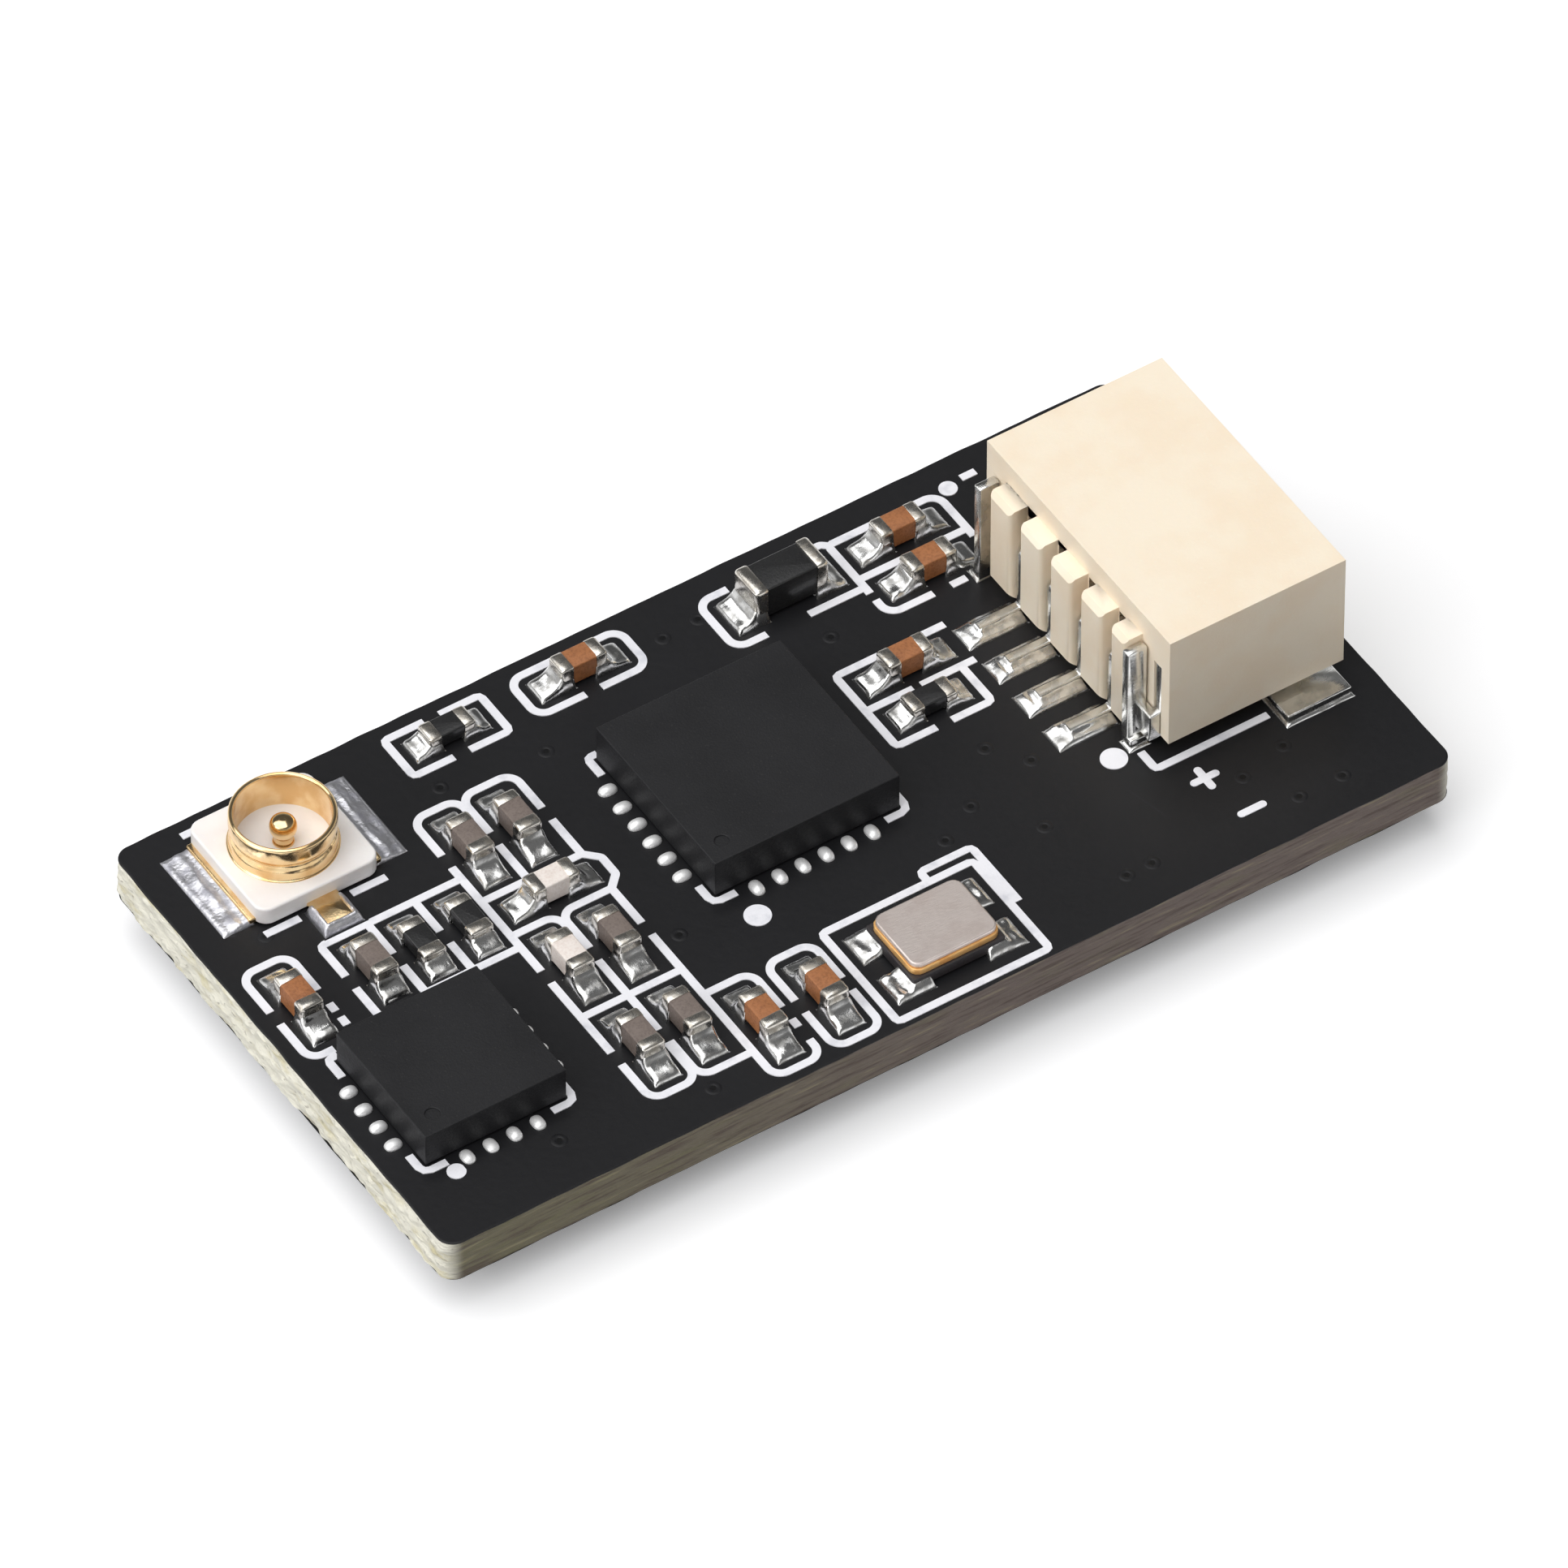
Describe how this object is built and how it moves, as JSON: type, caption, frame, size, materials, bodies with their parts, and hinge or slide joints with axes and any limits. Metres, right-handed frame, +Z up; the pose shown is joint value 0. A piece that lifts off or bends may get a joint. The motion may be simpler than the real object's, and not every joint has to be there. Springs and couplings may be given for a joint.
{
  "type": "radio control receiver",
  "caption": "Miniature radio control receiver: a bare black circuit board with an antenna socket, a side-entry wire header and surface-mounted chips.",
  "frame": {"origin": "under the middle of the board, on the lower face of the controller chip that it rests on", "axes": "+X along the board towards the wire header, +Y across the board away from the long edge beside the crystal, +Z up out of the populated side"},
  "size_m": [0.0218, 0.0114, 0.005],
  "materials": {
    "laminate": "black solder mask over glass laminate, satin",
    "ink": "white printing ink, matt",
    "solder": "tin solder, bright and uneven",
    "end_metal": "tin plating over ceramic, dull",
    "tinned_strip": "tin-plated bronze strip, bright",
    "gold": "thin gold plating, polished",
    "white_moulding": "white moulded liquid-crystal polymer",
    "cream_moulding": "cream moulded nylon, dry matt",
    "brown_ceramic": "fired brown dielectric, dull",
    "grey_ceramic": "fired grey-brown dielectric, dull",
    "white_ceramic": "white glass ceramic, satin",
    "black_ceramic": "black glaze, satin",
    "black_moulding": "black moulding compound, fine grained",
    "lid_metal": "plated metal lid, satin with a warm grey cast",
    "dark_ceramic": "dark fired ceramic",
    "lamp_carrier": "white carrier",
    "lamp_lens": "clear amber-tinted resin"
  },
  "bodies": {
    "root": {"amplifier_chip": "black_moulding", "amplifier_solder": "solder", "bead_collars": "end_metal", "bead_core": "black_ceramic", "bead_solder": "solder", "chip_end_caps": "end_metal", "chip_solder": "solder", "circuit_board": "laminate", "controller_chip": "black_moulding", "crystal_base": "dark_ceramic", "crystal_lid": "lid_metal", "crystal_seal": "gold", "crystal_solder": "solder", "filter_capacitor_1": "grey_ceramic", "filter_capacitor_2": "grey_ceramic", "filter_capacitor_3": "grey_ceramic", "filter_capacitor_4": "grey_ceramic", "filter_capacitor_5": "grey_ceramic", "filter_capacitor_6": "grey_ceramic", "header_contact_1": "tinned_strip", "header_contact_2": "tinned_strip", "header_contact_3": "tinned_strip", "header_contact_4": "tinned_strip", "header_housing": "cream_moulding", "header_solder": "solder", "header_tab_far": "tinned_strip", "header_tab_near": "tinned_strip", "inductor_1": "white_ceramic", "inductor_2": "white_ceramic", "lamp_base": "lamp_carrier", "lamp_lens": "lamp_lens", "printed_outlines": "ink", "regulator_body": "black_moulding", "regulator_legs": "tinned_strip", "resistor_1": "black_ceramic", "resistor_2": "black_ceramic", "resistor_3": "black_ceramic", "resistor_4": "black_ceramic", "socket_base": "white_moulding", "socket_pin": "gold", "socket_ring": "gold", "socket_solder": "solder", "supply_capacitor_1": "brown_ceramic", "supply_capacitor_2": "brown_ceramic", "supply_capacitor_3": "brown_ceramic", "supply_capacitor_4": "brown_ceramic", "supply_capacitor_5": "brown_ceramic", "supply_capacitor_6": "brown_ceramic", "supply_capacitor_7": "brown_ceramic", "transceiver_chip": "black_moulding", "transceiver_solder": "solder", "under_capacitor_1": "brown_ceramic", "under_capacitor_2": "brown_ceramic", "under_capacitor_3": "brown_ceramic", "under_solder": "solder"}
  },
  "joints": []
}
